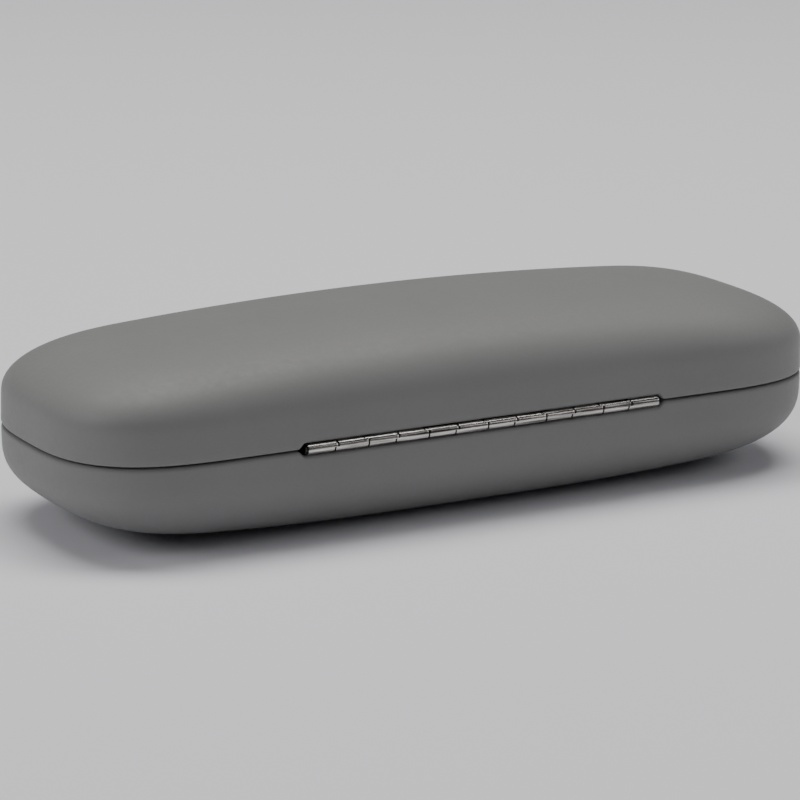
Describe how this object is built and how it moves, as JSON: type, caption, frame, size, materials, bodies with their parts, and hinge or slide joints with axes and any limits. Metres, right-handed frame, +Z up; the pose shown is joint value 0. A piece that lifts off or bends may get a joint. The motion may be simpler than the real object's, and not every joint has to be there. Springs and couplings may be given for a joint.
{
  "type": "eyeglasses case",
  "caption": "Hard clamshell eyeglasses case: wrapped steel shells with a padded lining, joined along one long side by a piano hinge and snapped shut by flat springs.",
  "frame": {"origin": "on the resting face, below the middle of the closed case", "axes": "+X along the case, +Y towards the hinge side, +Z up through the lid"},
  "size_m": [0.16, 0.0567, 0.0373],
  "materials": {
    "wrap": "matte soft-touch grey polyurethane leather",
    "shell_steel": "cold-rolled steel sheet, dull",
    "padding": "thin open-cell foam",
    "lining": "charcoal brushed microfibre",
    "hinge_metal": "nickel-plated steel, satin",
    "spring_steel": "tempered spring steel, blued"
  },
  "bodies": {
    "base": {"lower_wrap": "wrap", "lower_shell": "shell_steel", "lower_padding": "padding", "lower_lining": "lining", "lower_leaf": "hinge_metal", "lower_rivet_1": "hinge_metal", "lower_rivet_2": "hinge_metal", "lower_rivet_3": "hinge_metal", "lower_rivet_4": "hinge_metal", "hinge_pin": "hinge_metal", "snap_spring_1": "spring_steel", "snap_spring_2": "spring_steel", "hinge_cover": "lining"},
    "lid": {"upper_wrap": "wrap", "upper_shell": "shell_steel", "upper_padding": "padding", "upper_lining": "lining", "upper_leaf": "hinge_metal", "upper_rivet_1": "hinge_metal", "upper_rivet_2": "hinge_metal", "upper_rivet_3": "hinge_metal", "upper_rivet_4": "hinge_metal"}
  },
  "joints": [
    {"name": "lid_hinge", "type": "hinge", "parent": "base", "child": "lid", "pos_m": [0, 0.02755, 0.018], "axis": [-1, 0, 0], "range_deg": [0, 100], "deforming": ["hinge_cover", "snap_spring_1", "snap_spring_2"]}
  ]
}
